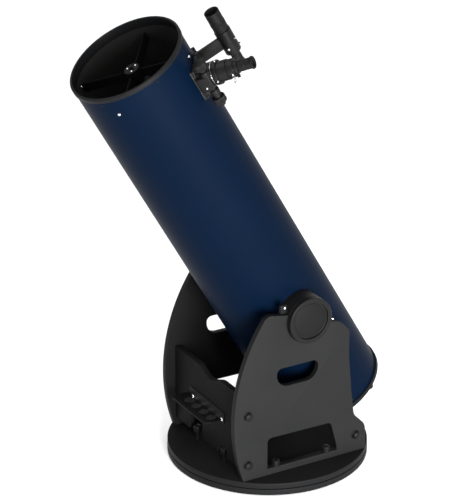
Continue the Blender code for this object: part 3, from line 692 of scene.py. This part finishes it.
lathe("eyecup_look", [(16.6, 353), (18.6, 352), (19.5, 350), (19.5, 346.5), (17.4, 344.4),
                      (13, 344.4), (13, 351)], [RUBBER], "ocular", FOCUS, steps=72, ring=True,
      soft=0.5, replaces=["eyecup"])
for i, low in enumerate((-43, 25.5)):
    lathe("shaft_bush_%d" % (i + 1), hoop(14.5, 4.4, low, low + 17.5), [ALLOY], "tube", SHAFT,
          ring=True, soft=1.0)
lathe("focus_knob_look", [(0, 77), (18, 77), (20, 75.5), (20, 56.5), (18.5, 54), (11, 54),
                          (11, 44), (4, 44), (4, -44), (11, -44), (11, -54), (18.5, -54),
                          (20, -56.5), (20, -73.5), (18.5, -75), (0, -75)], [PLASTIC],
      "focus_shaft", SHAFT, ribs=(30, 1.0, -200, 200, 19.2), soft=0.6,
      replaces=["focus_knob"])
lathe("fine_focus_knob_look", [(0, -75.4), (10, -75.4), (11, -76.4), (11, -85), (10, -86),
                               (0, -86)], [ALLOY], "fine_focus", SHAFT,
      ribs=(20, 0.7, -200, 200, 10.6), soft=0.4, replaces=["fine_focus_knob"])


def thumb(name, node, body, matrix, head_r, head_len, stem, mat=CHROME):
    """A thumb screw about local Z, its tip at the origin."""
    top = stem + head_len
    lathe(name, [(0, top), (head_r - 0.6, top), (head_r, top - 0.6), (head_r, stem + 0.6),
                 (head_r - 0.6, stem), (2, stem), (2, 0), (0, 0)], [mat], body, matrix,
          soft=0.3, ribs=(14, 0.5, stem + 0.5, top - 0.5, head_r - 0.2), replaces=[node])


def radial(angle, tip, height):
    """A place on the drawtube's side, facing out, at tip mm from its axis."""
    t = math.radians(angle)
    return (FOCUS @ move(tip * math.cos(t), tip * math.sin(t), height) @ spin("Z", angle)
            @ spin("Y", 90))


thumb("holder_screw_look", "holder_screw", "holder_clamp", radial(139, 28.9, 284), 4.5, 9, 8)
thumb("eyepiece_screw_look", "eyepiece_screw", "adapter_clamp", radial(140, 20.9, 298.2), 4.6, 9,
      1.5, PLASTIC)
for name, body, angle, out, height in (
        ("holder_stud", "drawtube", 97, 28.3, 288.3), ("collar_stud_1", "tube", -8, 35.8, 240.6),
        ("collar_stud_2", "tube", 99, 36.4, 239.6), ("collar_stud_3", "tube", 160, 36.4, 236),
        ("neck_stud", "tube", 59, 35.6, 221.0)):
    screw_head(name, body, radial(angle, out, height), 3.4, 4.6)
screw_head("housing_stud", "tube", FOCUS @ move(-10.6, 49.3, 204.7) @ spin("X", -90), 3.6, 3.2)

# --- finder ---------------------------------------------------------------------------------
bm = bmesh.new()
cuboid(bm, (-94.2, -6, -20), (-21, 6, 20), 1.5)
cuboid(bm, (-101.0, -10.6, -20), (-95.0, 10.6, 20), 0.5)
from_bm("finder_stalk", bm, [ALLOY], "finder_mount", FINDER)
lathe("finder_sleeve_look", hoop(25, 22.2, -43, 38), [ALLOY], "finder_mount", FINDER, steps=80,
      ring=True, soft=1.0, replaces=["finder_bracket"])
lathe("finder_tube_look",
      [(0, 78), (21, 78), (21, 109), (23, 109), (23, 106), (22.6, 105.4), (23, 104.8),
       (23, 39.5), (20.4, 38.6), (20.4, -45), (15.5, -52), (15.5, -82), (17, -84),
       (17, -98), (15, -100), (11, -100), (11, -95), (0, -95)], [SATIN, INNER],
      "finder_scope", FINDER, steps=80, soft=0.5, replaces=["finder_tube"],
      pick=lambda r, z, n: 1 if r < 21.3 and z > 77.5 else 0)
lathe("finder_lens", [(0, 83.5), (6, 83.2), (12, 82.4), (17, 81.2), (20.8, 79.8), (20.8, 78.2),
                      (0, 78.2)], [GLASS], "finder_scope", FINDER, steps=72, soft=0.0)
lathe("finder_grip", hoop(23.4, 20.4, 60, 72), [RUBBER], "finder_scope", FINDER, ring=True,
      soft=0.4, ribs=(40, 0.6, 61, 71, 23))
thumb("finder_lock_screw_look", "finder_lock_screw", "finder_lock",
      FINDER @ move(-100.5, 21.3, 0) @ spin("X", -90), 4.5, 8, 2)
for i, (angle, z, r, tall, mat) in enumerate((
        (-122, -20, 4.3, 5.0, CHROME), (-35, -3, 2.8, 8.0, CHROME), (130, 27, 2.8, 6.0, SATIN),
        (-122, 27, 2.6, 5.0, SATIN), (0, -33, 2.6, 5.0, SATIN), (130, -33, 2.6, 5.0, SATIN))):
    screw_head("finder_adjuster_%d" % (i + 1), "finder_mount",
               FINDER @ spin("Z", angle) @ move(24.8, 0, z) @ spin("Y", 90), r, tall, mat)

# --- floor ------------------------------------------------------------------------------------
bm = bmesh.new()
bmesh.ops.create_grid(bm, x_segments=8, y_segments=8, size=20)
mesh = bpy.data.meshes.new("floor")
bm.to_mesh(mesh)
bm.free()
mesh.materials.append(FLOOR)
floor = bpy.data.objects.new("floor", mesh)
floor.location = (0, 0, -0.0005)
looks.objects.link(floor)

bpy.context.view_layer.update()
